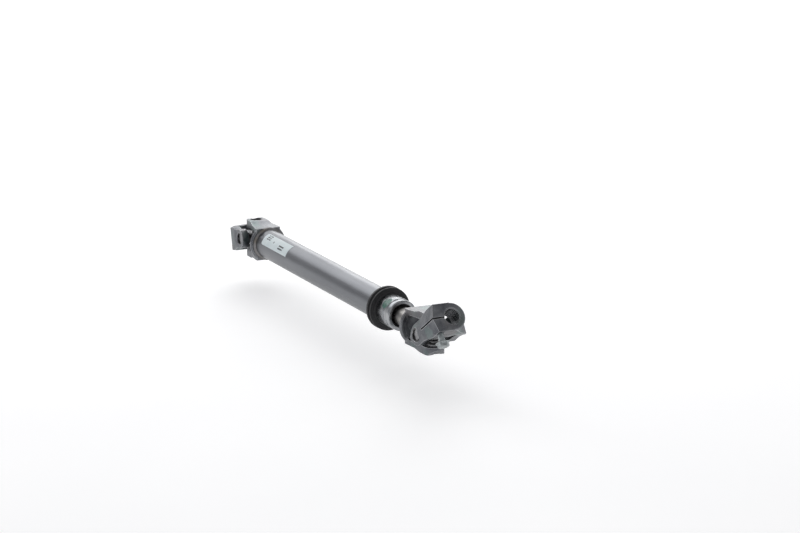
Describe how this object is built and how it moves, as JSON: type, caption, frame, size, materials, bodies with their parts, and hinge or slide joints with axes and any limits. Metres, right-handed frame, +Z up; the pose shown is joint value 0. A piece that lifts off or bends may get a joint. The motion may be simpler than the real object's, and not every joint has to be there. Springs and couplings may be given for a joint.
{
  "type": "universal joint shaft",
  "caption": "Telescopic shaft with a cardan joint at each end: outer tube, splined sliding shaft, forged fork yokes, crosses and clamp yokes with pinch bolts.",
  "frame": {"origin": "middle of the near clamp yoke's bore, on its axis, at the rest pose", "axes": "+X along the tube towards the near clamp yoke, +Z up, +Y across; at rest the near clamp yoke is tipped up and the far one hangs down"},
  "size_m": [0.671, 0.056, 0.0801],
  "materials": {
    "tube_steel": "drawn steel tube, satin, clear lacquered",
    "yoke_steel": "shot-blasted forged steel, satin",
    "weld": "weld with heat tint",
    "zinc_sleeve": "bright zinc plate, turned",
    "zinc_bolt": "bright zinc plate",
    "shaft_steel": "ground steel, lightly oiled",
    "bearing_steel": "ground bearing steel",
    "spring_steel": "oil-blackened spring steel",
    "black_rubber": "matt moulded rubber",
    "nylon": "moulded nylon",
    "label_foil": "satin white foil",
    "mark_paint": "brushed-on green inspection paint",
    "label_ink": "dark print on the label"
  },
  "bodies": {
    "tube": {"outer_tube": "tube_steel", "tube_yoke": "yoke_steel", "weld_bead": "weld", "tube_label": "label_foil", "seal_ring": "black_rubber", "lock_sleeve": "zinc_sleeve", "wiper_seal": "black_rubber", "slide_bush": "nylon", "far_tube_cups": "bearing_steel", "far_tube_cup_seals": "black_rubber", "far_tube_snap_rings": "spring_steel"},
    "sliding_shaft": {"inner_shaft": "shaft_steel", "shaft_yoke": "yoke_steel", "stop_ring": "spring_steel", "near_shaft_cups": "bearing_steel", "near_shaft_cup_seals": "black_rubber", "near_shaft_snap_rings": "spring_steel"},
    "near_spider": {"near_cross": "bearing_steel"},
    "far_spider": {"far_cross": "bearing_steel"},
    "near_clamp": {"near_clamp_yoke": "yoke_steel", "near_pinch_bolt": "zinc_bolt", "near_clamp_cups": "bearing_steel", "near_clamp_cup_seals": "black_rubber", "near_clamp_snap_rings": "spring_steel"},
    "far_clamp": {"far_clamp_yoke": "yoke_steel", "far_pinch_bolt": "zinc_bolt", "far_clamp_cups": "bearing_steel", "far_clamp_cup_seals": "black_rubber", "far_clamp_snap_rings": "spring_steel"},
    "near_shaft_needles": {"near_shaft_rollers": "bearing_steel"},
    "near_clamp_needles": {"near_clamp_rollers": "bearing_steel"},
    "far_tube_needles": {"far_tube_rollers": "bearing_steel"},
    "far_clamp_needles": {"far_clamp_rollers": "bearing_steel"}
  },
  "joints": [
    {"name": "telescope", "type": "slide", "parent": "tube", "child": "sliding_shaft", "axis": [1, 0, 0], "range_m": [-0.022, 0.06]},
    {"name": "near_fork_hinge", "type": "hinge", "parent": "sliding_shaft", "child": "near_spider", "pos_m": [-0.03814, 0, -0.02572], "axis": [0, 0, 1], "range_deg": [-32, 32]},
    {"name": "near_clamp_hinge", "type": "hinge", "parent": "near_spider", "child": "near_clamp", "pos_m": [-0.03814, 0, -0.02572], "axis": [0, 1, 0], "range_deg": [-2, 70]},
    {"name": "far_fork_hinge", "type": "hinge", "parent": "tube", "child": "far_spider", "pos_m": [-0.59114, 0, -0.02572], "axis": [0, 0, 1], "range_deg": [-32, 32]},
    {"name": "far_clamp_hinge", "type": "hinge", "parent": "far_spider", "child": "far_clamp", "pos_m": [-0.59114, 0, -0.02572], "axis": [0, 1, 0], "range_deg": [-24, 48]},
    {"name": "near_shaft_needle_ring", "type": "hinge", "parent": "sliding_shaft", "child": "near_shaft_needles", "pos_m": [-0.03814, 0, -0.02572], "axis": [0, 0, 1], "range_deg": [-13.88, 13.88]},
    {"name": "near_clamp_needle_ring", "type": "hinge", "parent": "near_spider", "child": "near_clamp_needles", "pos_m": [-0.03814, 0, -0.02572], "axis": [0, 1, 0], "range_deg": [-1.35, 40.29]},
    {"name": "far_tube_needle_ring", "type": "hinge", "parent": "tube", "child": "far_tube_needles", "pos_m": [-0.59114, 0, -0.02572], "axis": [0, 0, 1], "range_deg": [-13.88, 13.88]},
    {"name": "far_clamp_needle_ring", "type": "hinge", "parent": "far_spider", "child": "far_clamp_needles", "pos_m": [-0.59114, 0, -0.02572], "axis": [0, 1, 0], "range_deg": [-13.94, 27.69]}
  ],
  "couplings": [
    {"joint": "near_shaft_needle_ring", "follows": "near_fork_hinge", "ratio": 0.42735},
    {"joint": "near_clamp_needle_ring", "follows": "near_clamp_hinge", "ratio": 0.57265},
    {"joint": "far_tube_needle_ring", "follows": "far_fork_hinge", "ratio": 0.42735},
    {"joint": "far_clamp_needle_ring", "follows": "far_clamp_hinge", "ratio": 0.57265}
  ]
}
